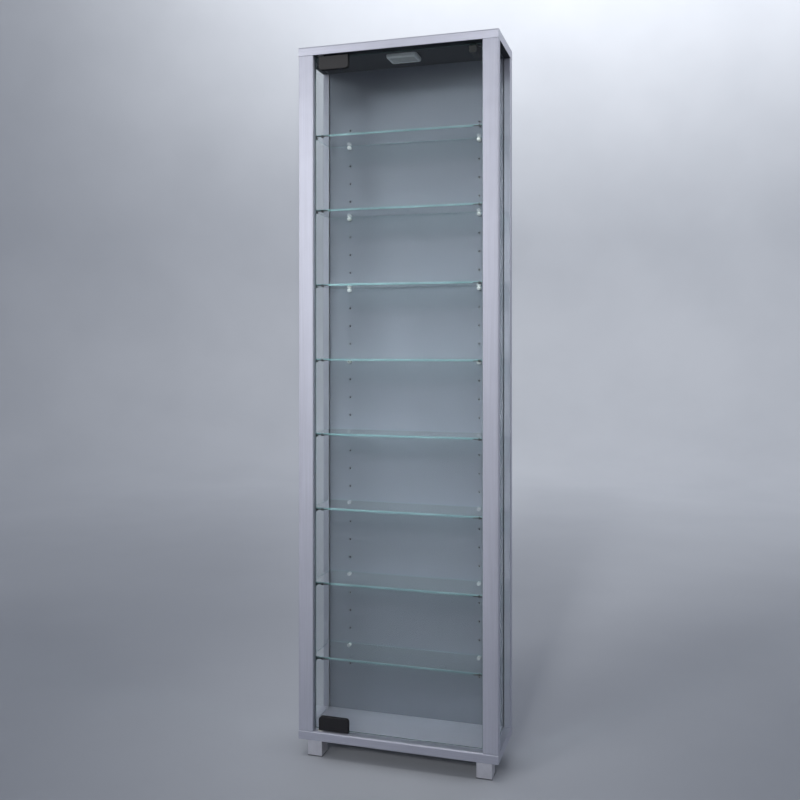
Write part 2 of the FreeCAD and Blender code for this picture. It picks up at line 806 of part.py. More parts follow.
def support_pad(height):
    """Soft pad between a front support's seat and the shelf."""
    return rod(PAD_RADIUS, PAD_U, PAD_V, height + SUPPORT_SEAT, UP, SHELF_RISE - SUPPORT_SEAT)


# ---- door hinges -------------------------------------------------------------------------------

PLATE_Z = CLAMP_BOTTOM + CLAMP_WALL_UNDER_PLATE
LINER_Z = PLATE_Z + PLATE_THICK
CLAMP_TOP = CLAMP_BOTTOM + CLAMP_TALL
LINER_HALF = DOOR_GLASS_THICK / 2.0 + LINER_SIDE
GRUB_Z = CLAMP_BOTTOM + GRUB_RISE


def hinge_clamp():
    """Black housing of the lower hinge, a channel open to the top and both ends for the glass."""
    clamp = block(
        CLAMP_LEFT_U,
        CLAMP_LEFT_U + CLAMP_LONG,
        DOOR_MID_V - CLAMP_THICK / 2.0,
        DOOR_MID_V + CLAMP_THICK / 2.0,
        CLAMP_BOTTOM,
        CLAMP_TOP,
    )
    upper = edges_along(clamp, Y_AXIS, lambda point: point.z > CLAMP_BOTTOM + CLAMP_TALL / 2.0)
    clamp = clamp.makeFillet(CLAMP_CORNER_RADIUS, upper)
    front_y = y_at(DOOR_MID_V - CLAMP_THICK / 2.0)
    rear_y = y_at(DOOR_MID_V + CLAMP_THICK / 2.0)
    flat = [edge for edge in clamp.Edges if edge.BoundBox.YLength < SMALL]
    rims = [edge for edge in flat if min(abs(edge.BoundBox.YMin - y) for y in (front_y, rear_y)) < SMALL]
    clamp = clamp.makeFillet(CLAMP_EDGE_RADIUS, rims)
    channel = block(
        CLAMP_LEFT_U - BEYOND,
        CLAMP_LEFT_U + CLAMP_LONG + BEYOND,
        DOOR_MID_V - LINER_HALF,
        DOOR_MID_V + LINER_HALF,
        LINER_Z,
        CLAMP_TOP + BEYOND,
    )
    hole_radius = PIN_RADIUS + CLAMP_PIN_PLAY
    hole_low = CLAMP_BOTTOM - BEYOND
    pin_hole = rod(hole_radius, PIVOT_U, DOOR_MID_V, hole_low, UP, PLATE_Z - hole_low)
    tools = [channel, plate_blank(PLATE_PLAY), pin_hole]
    for u in grub_places():
        tools.append(rod(GRUB_RADIUS, u, DOOR_MID_V, GRUB_Z, BACK, CLAMP_THICK))
    return cut_all(clamp, tools)


def plate_blank(play):
    """Outline of the pivot plate, grown by a small play for its pocket."""
    left = CLAMP_LEFT_U + PLATE_INSET
    return block(
        left - play,
        left + PLATE_LONG + play,
        DOOR_MID_V - PLATE_DEEP / 2.0 - play,
        DOOR_MID_V + PLATE_DEEP / 2.0 + play,
        PLATE_Z,
        PLATE_Z + PLATE_THICK,
    )


def hinge_pivot():
    """Steel plate under the glass edge with the pivot pin riveted into it."""
    pin_bottom = BOTTOM_TOP - BUSH_DEEP + BUSH_FLOOR + WASHER_PLAY
    pin = rod(PIN_RADIUS, PIVOT_U, DOOR_MID_V, pin_bottom, UP, PLATE_Z - pin_bottom)
    pin = pin.makeChamfer(PIN_BEVEL, round_edges(pin, lambda point: point.z < pin_bottom + PIN_BEVEL))
    return plate_blank(0.0).fuse(pin)


def hinge_liner():
    """Rubber channel between the clamp and the glass."""
    outer = block(
        CLAMP_LEFT_U + LINER_INSET,
        CLAMP_LEFT_U + CLAMP_LONG - LINER_INSET,
        DOOR_MID_V - LINER_HALF,
        DOOR_MID_V + LINER_HALF,
        LINER_Z,
        CLAMP_TOP - LINER_BELOW_RIM,
    )
    room = block(
        CLAMP_LEFT_U,
        CLAMP_LEFT_U + CLAMP_LONG,
        DOOR_MID_V - DOOR_GLASS_THICK / 2.0,
        DOOR_MID_V + DOOR_GLASS_THICK / 2.0,
        LINER_Z + LINER_FLOOR,
        CLAMP_TOP,
    )
    return outer.cut(room)


def grub_places():
    """Distances from the left of the two grub screws in a clamp."""
    return [CLAMP_LEFT_U + GRUB_INSET, CLAMP_LEFT_U + CLAMP_LONG - GRUB_INSET]


def grub_screws():
    """Grub screws of the lower clamp, from its rear face to the liner, with hexagon sockets."""
    screws = []
    length = CLAMP_THICK / 2.0 - LINER_HALF - GRUB_SUNK
    for u in grub_places():
        screw = rod(GRUB_RADIUS, u, DOOR_MID_V + LINER_HALF, GRUB_Z, BACK, length)
        socket = hexagon(KEY_RADIUS, u, DOOR_MID_V + LINER_HALF + length, GRUB_Z, KEY_DEEP)
        screws.append(screw.cut(socket))
    return screws


def hexagon(radius, u, v, z, depth):
    """Hexagonal prism running forward from a point, for a key socket."""
    wire = Part.makePolygon([hexagon_corner(radius, u, v, z, step) for step in range(7)])
    return Part.Face(wire).extrude(Vector(0, -depth, 0))


def hexagon_corner(radius, u, v, z, step):
    """One corner of a hexagon in the XZ plane."""
    turn = FreeCAD.Rotation(Y_AXIS, 60.0 * step)
    return Vector(left_x(u), y_at(v), z) + turn.multVec(Vector(radius, 0, 0))


def bush_hole():
    """Hole in the bottom board for the lower hinge bush."""
    return rod(BUSH_RADIUS, PIVOT_U, DOOR_MID_V, BOTTOM_TOP - BUSH_DEEP, UP, BUSH_DEEP + BEYOND)


def hinge_bush():
    """Plastic bush of the lower hinge, let into the bottom board, with a thin flange on it."""
    low = BOTTOM_TOP - BUSH_DEEP
    body = rod(BUSH_RADIUS, PIVOT_U, DOOR_MID_V, low, UP, BUSH_DEEP)
    flange = rod(BUSH_FLANGE_RADIUS, PIVOT_U, DOOR_MID_V, BOTTOM_TOP, UP, BUSH_FLANGE_THICK)
    bore = rod(PIN_RADIUS + RUNNING_GAP, PIVOT_U, DOOR_MID_V, low + BUSH_FLOOR, UP, BUSH_DEEP + BEYOND)
    return body.fuse(flange).cut(bore)


def thrust_washer():
    """Washer on the lower bush that carries the door."""
    low = BOTTOM_TOP + BUSH_FLANGE_THICK
    ring = rod(WASHER_RADIUS, PIVOT_U, DOOR_MID_V, low, UP, WASHER_THICK)
    bore = rod(PIN_RADIUS + WASHER_PLAY, PIVOT_U, DOOR_MID_V, low - BEYOND, UP, WASHER_THICK + 2 * BEYOND)
    return ring.cut(bore)


# ---- magnetic catch ----------------------------------------------------------------------------

def catch_screw_places():
    """Screws that hold the catch to the top board: u, v and height of the head's face."""
    offset = CATCH_FLANGE_WIDE / 2.0 - CATCH_SCREW_INSET
    middle_v = CATCH_FRONT + CATCH_LONG / 2.0
    head_z = TOP_UNDER - CATCH_FLANGE_THICK
    return [(CATCH_U - offset, middle_v, head_z), (CATCH_U + offset, middle_v, head_z)]


def wood_screw_outline(place):
    """Small countersunk wood screw driven upward into the top board."""
    return countersunk(WOOD_SCREW_RADIUS, WOOD_SCREW_HEAD_RADIUS, *place, UP, WOOD_SCREW_LONG)


def wood_screw(place):
    """Small wood screw with its cross slot."""
    return wood_screw_outline(place).cut(cross_slot(WOOD_SCREW_HEAD_RADIUS, *place, UP))


def catch_housing():
    """Housing of the catch: a long box with a bore for the plunger and a screwed flange."""
    low = CATCH_AXIS_Z - CATCH_WIDE / 2.0
    body = block(
        CATCH_U - CATCH_WIDE / 2.0,
        CATCH_U + CATCH_WIDE / 2.0,
        CATCH_FRONT,
        CATCH_FRONT + CATCH_LONG,
        low,
        TOP_UNDER,
    )
    lower = edges_along(body, Y_AXIS, lambda point: point.z < CATCH_AXIS_Z)
    body = body.makeFillet(CATCH_EDGE_RADIUS, lower)
    flange = block(
        CATCH_U - CATCH_FLANGE_WIDE / 2.0,
        CATCH_U + CATCH_FLANGE_WIDE / 2.0,
        CATCH_FRONT + CATCH_FLANGE_INSET,
        CATCH_FRONT + CATCH_LONG - CATCH_FLANGE_INSET,
        TOP_UNDER - CATCH_FLANGE_THICK,
        TOP_UNDER,
    )
    flange = flange.makeFillet(CATCH_FLANGE_RADIUS, edges_along(flange, Z_AXIS))
    bore_radius = PLUNGER_RADIUS + RUNNING_GAP
    bore_long = CATCH_BORE_DEEP + BEYOND
    tools = [rod(bore_radius, CATCH_U, CATCH_FRONT - BEYOND, CATCH_AXIS_Z, BACK, bore_long)]
    tools += [wood_screw_outline(place) for place in catch_screw_places()]
    return cut_all(body.fuse(flange), tools)


def catch_plunger():
    """Plunger of the catch: a rod that slides in the housing and a round head with a magnet pocket."""
    stem_start = PLUNGER_TIP + PLUNGER_HEAD_THICK
    stem = rod(PLUNGER_RADIUS, CATCH_U, stem_start, CATCH_AXIS_Z, BACK, PLUNGER_LONG)
    head = rod(PLUNGER_HEAD_RADIUS, CATCH_U, PLUNGER_TIP, CATCH_AXIS_Z, BACK, PLUNGER_HEAD_THICK)
    head = head.makeFillet(PLUNGER_HEAD_ROUNDING, round_edges(head))
    return stem.fuse(head).cut(catch_magnet())


def catch_magnet():
    """Disc magnet in the plunger's head."""
    return rod(MAGNET_RADIUS, CATCH_U, PLUNGER_TIP, CATCH_AXIS_Z, BACK, MAGNET_THICK)


def strike_plate():
    """Steel plate stuck on the back of the door glass, in front of the catch."""
    rear = DOOR_MID_V + DOOR_GLASS_THICK / 2.0
    plate = block(
        CATCH_U - STRIKE_WIDE / 2.0,
        CATCH_U + STRIKE_WIDE / 2.0,
        rear,
        rear + STRIKE_THICK,
        CATCH_AXIS_Z - STRIKE_BELOW,
        CATCH_AXIS_Z + STRIKE_ABOVE,
    )
    return plate.makeFillet(STRIKE_CORNER_RADIUS, edges_along(plate, Y_AXIS))


# ---- light -------------------------------------------------------------------------------------

LED_LOW = TOP_UNDER - LED_TALL
LED_MID_V = LED_FRONT + LED_DEEP / 2.0


def led_slab(inset, radius, z0, z1):
    """Rounded rectangle centred on the light, set in from its outline, between two heights."""
    slab = block(
        (WIDTH - LED_LONG) / 2.0 + inset,
        (WIDTH + LED_LONG) / 2.0 - inset,
        LED_FRONT + inset,
        LED_FRONT + LED_DEEP - inset,
        z0,
        z1,
    )
    return slab.makeFillet(radius, edges_along(slab, Z_AXIS))


def led_housing():
    """Shallow tray of the light with a bevelled rim, open downward."""
    tray = led_slab(0.0, LED_CORNER_RADIUS, LED_LOW, TOP_UNDER)
    rim = [edge for edge in tray.Edges if abs(edge.BoundBox.ZMax - LED_LOW) < SMALL]
    tray = tray.makeChamfer(LED_RIM_BEVEL, rim)
    room = led_slab(LED_RIM, LED_ROOM_RADIUS, LED_LOW - BEYOND, TOP_UNDER - LED_WALL_TOP)
    cable_low = TOP_UNDER - LED_WALL_TOP - BEYOND
    cable = rod(CABLE_RADIUS, WIDTH / 2.0, LED_MID_V, cable_low, UP, LED_WALL_TOP + 2 * BEYOND)
    tools = [room, cable]
    tools += [wood_screw_outline(place) for place in led_screw_places()]
    return cut_all(tray, tools)


def led_diffuser():
    """Clear cover plate in the tray's opening."""
    low = LED_LOW + LED_LENS_SUNK
    return led_slab(LED_RIM + LED_LENS_PLAY, LED_ROOM_RADIUS - LED_LENS_PLAY, low, low + LED_LENS_THICK)


def led_board():
    """Circuit board against the tray's inner face."""
    high = TOP_UNDER - LED_WALL_TOP
    low = high - LED_BOARD_THICK
    plate = led_slab(LED_RIM + LED_BOARD_PLAY, LED_ROOM_RADIUS - LED_BOARD_PLAY, low, high)
    cable = rod(CABLE_RADIUS, WIDTH / 2.0, LED_MID_V, low - BEYOND, UP, LED_TALL)
    tools = [cable]
    for u, v, head_z in led_screw_places():
        tools.append(rod(LED_SCREW_ROOM_RADIUS, u, v, low - BEYOND, UP, LED_TALL))
    return cut_all(plate, tools)


def led_chips():
    """Row of light chips along the rear of the circuit board."""
    high = TOP_UNDER - LED_WALL_TOP - LED_BOARD_THICK
    v = LED_MID_V + CHIP_BEHIND_MIDDLE
    chips = []
    for chip in range(CHIP_COUNT):
        u = WIDTH / 2.0 + (chip - (CHIP_COUNT - 1) / 2.0) * CHIP_PITCH
        chips.append(
            block(
                u - CHIP_LONG / 2.0,
                u + CHIP_LONG / 2.0,
                v - CHIP_DEEP / 2.0,
                v + CHIP_DEEP / 2.0,
                high - CHIP_TALL,
                high,
            )
        )
    return chips


def led_screw_places():
    """Screws that hold the light's tray to the top board: u, v and height of the head's face."""
    middle_u = WIDTH / 2.0
    v = LED_MID_V - LED_SCREW_AHEAD
    head_z = TOP_UNDER - LED_WALL_TOP
    return [(middle_u - LED_SCREW_OFFSET, v, head_z), (middle_u + LED_SCREW_OFFSET, v, head_z)]


def cable_grommet():
    """Rubber grommet flush in the top board, at the outlet of the light's cable."""
    flange_low = HEIGHT - GROMMET_FLANGE_THICK
    flange = rod(GROMMET_FLANGE_RADIUS, WIDTH / 2.0, LED_MID_V, flange_low, UP, GROMMET_FLANGE_THICK)
    rim = round_edges(flange, lambda point: point.z > HEIGHT - GROMMET_ROUNDING)
    flange = flange.makeFillet(GROMMET_ROUNDING, rim)
    tube_low = HEIGHT - GROMMET_LONG
    tube = rod(CABLE_HOLE_RADIUS, WIDTH / 2.0, LED_MID_V, tube_low, UP, GROMMET_LONG - GROMMET_ROUNDING)
    bore = rod(CABLE_RADIUS, WIDTH / 2.0, LED_MID_V, tube_low - BEYOND, UP, GROMMET_LONG + 2 * BEYOND)
    return flange.fuse(tube).cut(bore)


# ---- feet --------------------------------------------------------------------------------------

def foot_screw_places():
    """Screws of the front left foot: u and v."""
    middle_u = FOOT_U + FOOT_SIZE / 2.0
    middle_v = FOOT_V + FOOT_SIZE / 2.0
    return [(middle_u - FOOT_SCREW_OFFSET, middle_v), (middle_u + FOOT_SCREW_OFFSET, middle_v)]


def foot():
    """Front left foot: a square aluminium tube with a closed top, open below."""
    shell = block(
        FOOT_U,
        FOOT_U + FOOT_SIZE,
        FOOT_V,
        FOOT_V + FOOT_SIZE,
        GLIDE_THICK,
        FOOT_HEIGHT,
    )
    shell = shell.makeFillet(FOOT_EDGE_RADIUS, edges_along(shell, Z_AXIS))
    tools = [foot_room(0.0, GLIDE_THICK - BEYOND, FOOT_HEIGHT - FOOT_CAP)]
    hole_radius = FOOT_SCREW_RADIUS + FOOT_SCREW_PLAY
    for u, v in foot_screw_places():
        tools.append(rod(hole_radius, u, v, FOOT_HEIGHT - FOOT_CAP - BEYOND, UP, FOOT_CAP + 2 * BEYOND))
    return cut_all(shell, tools)


def foot_room(play, z0, z1):
    """Inside of the foot's tube, less a small play."""
    inset = FOOT_WALL + play
    room = block(
        FOOT_U + inset,
        FOOT_U + FOOT_SIZE - inset,
        FOOT_V + inset,
        FOOT_V + FOOT_SIZE - inset,
        z0,
        z1,
    )
    return room.makeFillet(FOOT_ROOM_RADIUS, edges_along(room, Z_AXIS))


def foot_glide():
    """Plastic glide pushed into the foot from below, with a plug and a floor plate."""
    plate = block(FOOT_U, FOOT_U + FOOT_SIZE, FOOT_V, FOOT_V + FOOT_SIZE, 0.0, GLIDE_THICK)
    plate = plate.makeFillet(FOOT_EDGE_RADIUS, edges_along(plate, Z_AXIS))
    rim = [edge for edge in plate.Edges if edge.BoundBox.ZMax < SMALL]
    plate = plate.makeChamfer(GLIDE_BEVEL, rim)
    plug = foot_room(GLIDE_PLUG_PLAY, GLIDE_THICK / 2.0, GLIDE_THICK + GLIDE_PLUG_TALL)
    return plate.fuse(plug)


def foot_screws():
    """Pan-head screws of the front left foot, driven up through its top into the bottom board."""
    screws = []
    seat = FOOT_HEIGHT - FOOT_CAP
    head_low = seat - FOOT_SCREW_HEAD_TALL
    for u, v in foot_screw_places():
        shank = rod(FOOT_SCREW_RADIUS, u, v, seat, UP, FOOT_CAP + FOOT_SCREW_BITE - BEYOND)
        head = rod(FOOT_SCREW_HEAD_RADIUS, u, v, head_low, UP, FOOT_SCREW_HEAD_TALL)
        rim = round_edges(head, lambda point: point.z < head_low + SMALL)
        head = head.makeFillet(FOOT_SCREW_HEAD_ROUNDING, rim)
        slot = cross_slot(FOOT_SCREW_HEAD_RADIUS, u, v, head_low, UP)
        screws.append(shank.fuse(head).cut(slot))
    return screws


# ---- output ------------------------------------------------------------------------------------

def main():
    """Write every node."""
    os.makedirs("parts", exist_ok=True)
    save("top_board", top_board())
    save("bottom_board", bottom_board())

    left_front = front_post()
    left_rear = rear_post()
    save("front_left_post", left_front)
    save("front_right_post", mirror_side(left_front))
    save("rear_left_post", left_rear)
    save("rear_right_post", mirror_side(left_rear))
    save("rear_panel", rear_panel())

    save("left_side_glass", side_glass())
    save("right_side_glass", mirror_side(side_glass()))
    heights = shelf_pin_heights()
    for number, height in enumerate(heights, start=1):
        save("shelf_" + str(number), shelf(height))

    for name, make in [
        ("rear_shelf_pins", rear_pin),
        ("rear_pin_sleeves", rear_pin_sleeve),
        ("front_shelf_supports", front_support),
        ("front_support_pads", support_pad),
    ]:
        left = [make(height) for height in heights]
        right = [mirror_side(shape) for shape in left]
        save(name, *left, *right)

    screws = [frame_screw(HEIGHT, -1), frame_screw(FOOT_HEIGHT, 1)]
    dowels = [frame_dowel(TOP_UNDER), frame_dowel(BOTTOM_TOP)]
    save("frame_screws", *[move(shape) for shape in screws for move in corners()])
    save("frame_dowels", *[move(shape) for shape in dowels for move in corners()])
    save("screw_caps", *screw_caps())
    side_screws = [panel_screw(height) for height in panel_screw_heights()]
    save("panel_screws", *side_screws, *[mirror_side(shape) for shape in side_screws])
    save("anti_tip_plates", anti_tip_plate(), mirror_side(anti_tip_plate()))
    tip_screws = anti_tip_screws()
    save("anti_tip_screws", *tip_screws, *[mirror_side(shape) for shape in tip_screws])

    save("door_glass", door_glass())
    save("hinge_clamp_bottom", hinge_clamp())
    save("hinge_clamp_top", mirror_height(hinge_clamp()))
    grubs = grub_screws()
    save("hinge_grub_screws", *grubs, *[mirror_height(shape) for shape in grubs])
    save("hinge_liner_bottom", hinge_liner())
    save("hinge_liner_top", mirror_height(hinge_liner()))
    save("hinge_pivot_bottom", hinge_pivot())
    save("hinge_pivot_top", mirror_height(hinge_pivot()))
    save("hinge_bush_bottom", hinge_bush())
    save("hinge_bush_top", mirror_height(hinge_bush()))
    save("thrust_washer", thrust_washer())
    save("strike_plate", strike_plate())

    save("catch_housing", catch_housing())
    save("catch_plunger", catch_plunger())
    save("catch_magnet", catch_magnet())
    save("catch_screws", *[wood_screw(place) for place in catch_screw_places()])

    save("led_housing", led_housing())
    save("led_diffuser", led_diffuser())
    save("led_board", led_board())
    save("led_chips", *led_chips())
    save("led_screws", *[wood_screw(place) for place in led_screw_places()])
    save("cable_grommet", cable_grommet())

    names = ["foot_front_left", "foot_front_right", "foot_rear_left", "foot_rear_right"]
    for name, move in zip(names, corners()):
        save(name, move(foot()))
    save("foot_glides", *[move(foot_glide()) for move in corners()])
    save("foot_screws", *[move(screw) for screw in foot_screws() for move in corners()])


main()
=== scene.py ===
import math
import bmesh
import bpy
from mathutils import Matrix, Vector


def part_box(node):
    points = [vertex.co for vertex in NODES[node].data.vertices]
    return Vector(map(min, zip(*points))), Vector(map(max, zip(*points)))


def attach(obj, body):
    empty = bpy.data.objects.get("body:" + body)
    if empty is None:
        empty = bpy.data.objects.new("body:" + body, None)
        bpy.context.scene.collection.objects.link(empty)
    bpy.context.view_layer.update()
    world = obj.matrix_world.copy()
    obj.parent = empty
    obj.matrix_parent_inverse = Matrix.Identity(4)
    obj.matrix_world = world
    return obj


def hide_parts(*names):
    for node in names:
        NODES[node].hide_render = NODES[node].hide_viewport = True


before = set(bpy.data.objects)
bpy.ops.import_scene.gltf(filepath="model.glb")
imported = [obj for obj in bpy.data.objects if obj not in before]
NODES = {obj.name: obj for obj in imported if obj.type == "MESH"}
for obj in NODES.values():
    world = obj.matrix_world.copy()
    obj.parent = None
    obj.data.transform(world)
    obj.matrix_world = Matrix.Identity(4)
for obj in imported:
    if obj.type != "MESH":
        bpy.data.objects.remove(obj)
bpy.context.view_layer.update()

# ---- camera ----------------------------------------------------------------------------------

CAMERA_PLACE = (0.64678, -2.15897, 1.01869)
CAMERA_TURN = math.radians(16.524)
CAMERA_LENS = 40.81
CAMERA_SHIFT = (-0.0106, -0.0699)


def make_camera():
    """Upright camera a little to the right of the showcase, level with its middle."""
    data = bpy.data.cameras.new("camera")
    data.sensor_width = 36.0
    data.lens = CAMERA_LENS
    data.shift_x, data.shift_y = CAMERA_SHIFT
    data.clip_start = 0.05
    camera = bpy.data.objects.new("camera", data)
    camera.location = CAMERA_PLACE
    camera.rotation_euler = (math.pi / 2, 0.0, CAMERA_TURN)
    bpy.context.scene.collection.objects.link(camera)
    bpy.context.scene.camera = camera


make_camera()

# ---- node helpers ----------------------------------------------------------------------------


class Tree:
    """A material's node tree with short ways to add and join nodes."""

    def __init__(self, name):
        self.material = bpy.data.materials.new(name)
        self.material.use_nodes = True
        self.tree = self.material.node_tree
        self.tree.nodes.clear()
        self.output = self.add("ShaderNodeOutputMaterial")

    def add(self, kind, **settings):
        """New node with its settings."""
        node = self.tree.nodes.new(kind)
        for key, value in settings.items():
            setattr(node, key, value)
        return node

    def join(self, source, target):
        """Link an output socket to an input socket."""
        self.tree.links.new(source, target)

    def coordinates(self, scale=(1.0, 1.0, 1.0)):
        """Object coordinates in metres, stretched by a scale along each axis."""
        place = self.add("ShaderNodeTexCoord")
        mapping = self.add("ShaderNodeMapping")
        mapping.inputs["Scale"].default_value = scale
        self.join(place.outputs["Object"], mapping.inputs["Vector"])
        return mapping.outputs["Vector"]

    def noise(self, vector, scale, detail=3.0, roughness=0.5):
        """Noise value at a vector."""
        node = self.add("ShaderNodeTexNoise")
        node.inputs["Scale"].default_value = scale
        node.inputs["Detail"].default_value = detail
        node.inputs["Roughness"].default_value = roughness
        self.join(vector, node.inputs["Vector"])
        return node.outputs["Fac"]

    def spread(self, value, low_in, high_in, low, high):
        """Value moved from one range to another and held inside it."""
        node = self.add("ShaderNodeMapRange")
        node.inputs["From Min"].default_value = low_in
        node.inputs["From Max"].default_value = high_in
        node.inputs["To Min"].default_value = low
        node.inputs["To Max"].default_value = high
        self.join(value, node.inputs["Value"])
        return node.outputs["Result"]

    def math(self, operation, first, second):
        """Result of one sum on two sockets or numbers."""
        node = self.add("ShaderNodeMath", operation=operation)
        for value, socket in ((first, node.inputs[0]), (second, node.inputs[1])):
            if isinstance(value, (int, float)):
                socket.default_value = value
            else:
                self.join(value, socket)
        return node.outputs[0]

    def blend(self, amount, first, second):
        """Colour between two colours or colour sockets."""
        node = self.add("ShaderNodeMix", data_type="RGBA")
        sockets = [s for s in node.inputs if s.type == "RGBA"]
        for value, socket in ((first, sockets[0]), (second, sockets[1])):
            if isinstance(value, tuple):
                socket.default_value = (*value, 1.0)
            else:
                self.join(value, socket)
        self.join(amount, node.inputs[0])
        return [s for s in node.outputs if s.type == "RGBA"][0]

    def bump(self, height, distance, strength=1.0):
        """Normal from a height."""
        node = self.add("ShaderNodeBump")
        node.inputs["Distance"].default_value = distance
        node.inputs["Strength"].default_value = strength
        self.join(height, node.inputs["Height"])
        return node.outputs["Normal"]

    def surface(self, colour=None, roughness=None, normal=None, metallic=None, **plain):
        """Principled shader with linked or plain inputs."""
        shader = self.add("ShaderNodeBsdfPrincipled")
        for key, value in plain.items():
            shader.inputs[key.replace("_", " ")].default_value = value
        driven = {"Base Color": colour, "Roughness": roughness, "Normal": normal, "Metallic": metallic}
        for name, value in driven.items():
            if isinstance(value, tuple):
                shader.inputs[name].default_value = (*value, 1.0)
            elif isinstance(value, (int, float)):
                shader.inputs[name].default_value = value
            elif value is not None:
                self.join(value, shader.inputs[name])
        return shader

    def finish(self, shader):
        """Join a shader to the output and hand over the material."""
        self.join(shader.outputs[0], self.output.inputs["Surface"])
        return self.material


def scaled(colour, by):
    """Colour times a number."""
    return tuple(channel * by for channel in colour)


# ---- materials -------------------------------------------------------------------------------

SILVER = (0.555, 0.566, 0.655)
BOARD_SHADE = 0.95                  # the boards' foil against the posts' foil
# the panel's own blue-grey, darkened further as painted shade inside the cabinet
PANEL_GREY_AND_SHADE = (0.146, 0.163, 0.203)
# fibreboard core on the hole walls, darkened to near-black as painted shade inside the holes
FIBREBOARD_AND_HOLE_SHADE = (0.030, 0.024, 0.022)
# painted shade: the dull near-black colour and roughness given to the boards' undersides, where shade
# falls
PAINTED_UNDERSIDE_SHADE = (0.030, 0.036, 0.042)
SHADED_UNDERSIDE_ROUGH = 0.8
UNDERSIDE = -0.9                    # a face whose normal points lower than this is an underside
WALL_START = 0.0003                 # behind the panel's front, where the walls of its holes begin
WALL_REACH = 0.0112                 # depth of those walls
FOIL_GRAIN = 260.0                  # streaks to a metre across the grain
FOIL_GRAIN_ALONG = 5.0
FOIL_FLAKES = 2600.0
FOIL_CLOUDS = 7.0
FOIL_SCUFFS = 42.0
GLASS_IOR = 1.5


def silver_foil(name, colour, grain_axis, metallic, rough, contrast, core_from=None, shaded_underside=False):
    """Satin silver foil: fine flakes, faint streaks along the grain, soft blotches and scuffs.

    With core_from, a distance back from the front, the walls of drilled holes show the fibreboard
    core, darkened to near-black as painted shade.
    A board flagged for it gets painted shade on its underside: dull near-black in place of the foil.
    """
    t = Tree(name)
    stretch = [FOIL_GRAIN] * 3
    stretch[grain_axis] = FOIL_GRAIN_ALONG
    streaks = t.noise(t.coordinates(tuple(stretch)), 1.0, 4.0, 0.6)
    place = t.coordinates()
    flakes = t.noise(place, FOIL_FLAKES, 2.0, 0.6)
    clouds = t.noise(place, FOIL_CLOUDS, 4.0, 0.55)
    scuffs = t.noise(place, FOIL_SCUFFS, 6.0, 0.7)
    dark, light = scaled(colour, 1.0 - contrast), scaled(colour, 1.0 + contrast)
    grain = t.blend(t.spread(streaks, 0.35, 0.65, 0.0, 1.0), dark, light)
    speckled = t.blend(t.spread(flakes, 0.45, 0.75, 0.0, 0.30), grain, scaled(colour, 1.22))
    tone = t.blend(t.spread(clouds, 0.35, 0.7, 0.0, 0.30), speckled, scaled(colour, 0.84))
    if core_from is not None:
        split = t.add("ShaderNodeSeparateXYZ")
        t.join(t.coordinates(), split.inputs[0])
        inside = t.math("GREATER_THAN", split.outputs["Y"], core_from)
        before = t.math("LESS_THAN", split.outputs["Y"], core_from + WALL_REACH)
        tone = t.blend(t.math("MULTIPLY", inside, before), tone, FIBREBOARD_AND_HOLE_SHADE)
    streak_rough = t.spread(streaks, 0.3, 0.7, rough - 0.03, rough + 0.03)
    roughness = t.math("ADD", streak_rough, t.spread(scuffs, 0.45, 0.75, 0.0, 0.09))
    height = t.math("ADD", t.math("MULTIPLY", flakes, 0.5), streaks)
    normal = t.bump(height, 0.00005, 0.35)
    # painted shade: downward faces get dull near-black in place of the foil
    if shaded_underside:
        facing = t.add("ShaderNodeSeparateXYZ")
        t.join(t.add("ShaderNodeTexCoord").outputs["Normal"], facing.inputs[0])
        under = t.math("LESS_THAN", facing.outputs["Z"], UNDERSIDE)
        tone = t.blend(under, tone, PAINTED_UNDERSIDE_SHADE)
        roughness = t.math("MAXIMUM", roughness, t.math("MULTIPLY", under, SHADED_UNDERSIDE_ROUGH))
        metallic = t.math("MULTIPLY", t.math("SUBTRACT", 1.0, under), metallic)
    return t.finish(t.surface(tone, roughness, normal, metallic, IOR=1.5))


def clear_glass(name, tint, shade):
    """Clear pane: bends and mirrors, with the faintest wiping smears, and lets lamps through."""
    t = Tree(name)
    smears = t.noise(t.coordinates((1.0, 1.0, 0.35)), 9.0, 5.0, 0.65)
    colour = t.blend(t.spread(smears, 0.4, 0.75, 0.0, 1.0), tint, scaled(tint, 0.985))
    glass = t.surface(colour, 0.0, IOR=GLASS_IOR, Transmission_Weight=1.0)
    clear = t.add("ShaderNodeBsdfTransparent")
    clear.inputs["Color"].default_value = (*shade, 1.0)
    path = t.add("ShaderNodeLightPath")
    mix = t.add("ShaderNodeMixShader")
    t.join(path.outputs["Is Shadow Ray"], mix.inputs[0])
    t.join(glass.outputs[0], mix.inputs[1])
    t.join(clear.outputs[0], mix.inputs[2])
    return t.finish(mix)


def glass_edge(name, deep, pale):
    """Ground and polished glass edge: green from the depth of glass behind it."""
    t = Tree(name)
    place = t.coordinates()
    patches = t.noise(place, 26.0, 3.0, 0.5)
    grit = t.noise(place, 1500.0, 2.0, 0.5)
    colour = t.blend(t.spread(patches, 0.35, 0.7, 0.0, 1.0), deep, pale)
    rough = t.spread(grit, 0.3, 0.7, 0.14, 0.30)
    normal = t.bump(grit, 0.00003, 0.4)
    return t.finish(t.surface(colour, rough, normal, IOR=GLASS_IOR, Transmission_Weight=0.45))


def moulded(name, colour, rough_low, rough_high, grain=900.0, depth=0.00004, **plain):
    """Moulded plastic or rubber: pebbled skin, uneven sheen and slightly paler rubbed spots."""
    t = Tree(name)
    place = t.coordinates()
    pebbles = t.noise(place, grain, 2.0, 0.5)
    rubbed = t.noise(place, 60.0, 5.0, 0.65)
    tone = t.blend(t.spread(rubbed, 0.5, 0.8, 0.0, 0.5), colour, scaled(colour, 1.5))
    rough = t.spread(rubbed, 0.3, 0.75, rough_low, rough_high)
    normal = t.bump(pebbles, depth, 0.5)
    return t.finish(t.surface(tone, rough, normal, **plain))


